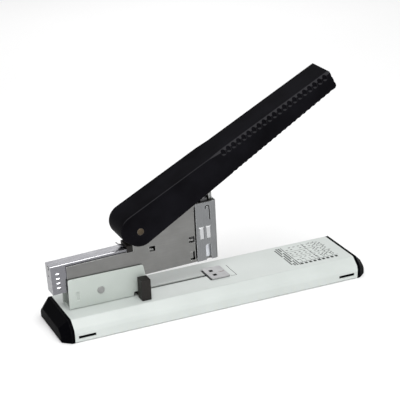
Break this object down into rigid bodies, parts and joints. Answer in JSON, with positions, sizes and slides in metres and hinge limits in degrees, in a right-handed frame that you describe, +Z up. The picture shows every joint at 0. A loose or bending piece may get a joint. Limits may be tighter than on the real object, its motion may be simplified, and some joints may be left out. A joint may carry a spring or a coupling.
{
  "type": "heavy duty lever stapler",
  "caption": "Heavy duty lever stapler on a long flat base: sprung head and handle, nose driver over an anvil, pull-out loading rail and sliding paper stop.",
  "frame": {"origin": "middle of the base's footprint on the surface the rubber feet stand on", "axes": "+X along the base towards the handle's free end and the paper entry, +Y across the base, +Z up"},
  "size_m": [0.3312, 0.08, 0.2197],
  "materials": {
    "white_paint": "smooth satin powder coat",
    "bracket_paint": "smooth satin powder coat, a shade darker",
    "cap_plastic": "moulded, semi-matt",
    "handle_plastic": "moulded, semi-matt",
    "stop_plastic": "moulded, matt",
    "satin_steel": "satin nickel",
    "plated_steel": "bright zinc",
    "anvil_steel": "ground and nickel plated",
    "bright_plating": "bright chrome",
    "zinc_steel": "zinc plated",
    "spring_steel": "oiled spring wire",
    "staple_wire": "galvanised wire",
    "brass": "dull brass",
    "nylon": "natural nylon",
    "rubber": "soft black rubber"
  },
  "bodies": {
    "root": {"base_cover": "white_paint", "base_floor_plate": "zinc_steel", "front_end_cap": "cap_plastic", "rear_end_cap": "cap_plastic", "rubber_feet": "rubber", "base_screws": "zinc_steel", "anvil_plate": "anvil_steel", "anvil_support": "zinc_steel", "anvil_screws": "zinc_steel", "head_bracket": "bracket_paint", "bracket_rivets": "zinc_steel", "head_hinge_pin": "zinc_steel", "hinge_washers": "nylon", "head_return_spring": "spring_steel"},
    "stop": {"paper_stop": "stop_plastic", "stop_clamp": "spring_steel", "stop_screw": "zinc_steel"},
    "head": {"side_plate_near": "satin_steel", "side_plate_far": "satin_steel", "nose_housing": "plated_steel", "magazine_floor": "satin_steel", "staple_track": "zinc_steel", "staple_strip": "staple_wire", "handle_pivot_pin": "brass", "pivot_spacers": "nylon", "handle_return_spring": "spring_steel", "frame_rivets": "zinc_steel", "latch_pin": "zinc_steel"},
    "rail": {"loading_rail": "bright_plating", "pusher_rod": "zinc_steel", "pusher_spring": "spring_steel"},
    "pusher": {"staple_pusher": "spring_steel"},
    "latch": {"release_latch": "stop_plastic", "latch_finger": "bright_plating"},
    "driver": {"driver_blade": "zinc_steel", "driver_carrier": "spring_steel", "driver_stems": "zinc_steel", "driver_cap": "zinc_steel"},
    "handle": {"handle_shell": "handle_plastic", "handle_core": "zinc_steel", "pressure_pad": "zinc_steel", "handle_screws": "zinc_steel"}
  },
  "joints": [
    {"name": "head_hinge", "type": "hinge", "parent": "root", "child": "head", "pos_m": [-0.1151, 0, 0.036], "axis": [0, 1, 0], "range_deg": [0, 9.2], "stiffness_Nm_per_rad": 2, "springref_deg": -22.92, "deforming": ["head_return_spring"]},
    {"name": "handle_hinge", "type": "hinge", "parent": "head", "child": "handle", "pos_m": [-0.07299, 0, 0.091], "axis": [0, 1, 0], "range_deg": [0, 25], "stiffness_Nm_per_rad": 1.5, "springref_deg": -28.65},
    {"name": "driver_slide", "type": "slide", "parent": "head", "child": "driver", "axis": [0.0349, 0, -0.9994], "range_m": [0, 0.0312]},
    {"name": "rail_slide", "type": "slide", "parent": "head", "child": "rail", "axis": [-0.9994, 0, -0.0349], "range_m": [0, 0.06]},
    {"name": "pusher_slide", "type": "slide", "parent": "rail", "child": "pusher", "axis": [0.9994, 0, 0.0349], "range_m": [-0.045, 0], "stiffness_N_per_m": 30, "springref_m": 0.06, "deforming": ["pusher_spring"]},
    {"name": "latch_hinge", "type": "hinge", "parent": "head", "child": "latch", "pos_m": [-0.07537, 0, 0.07581], "axis": [0, 1, 0], "range_deg": [0, 8], "stiffness_Nm_per_rad": 0.05, "springref_deg": -17.19},
    {"name": "stop_slide", "type": "slide", "parent": "root", "child": "stop", "axis": [1, 0, 0], "range_m": [0, 0.048]}
  ],
  "couplings": [
    {"joint": "driver_slide", "follows": "handle_hinge", "m_per_rad": 0.071207}
  ]
}
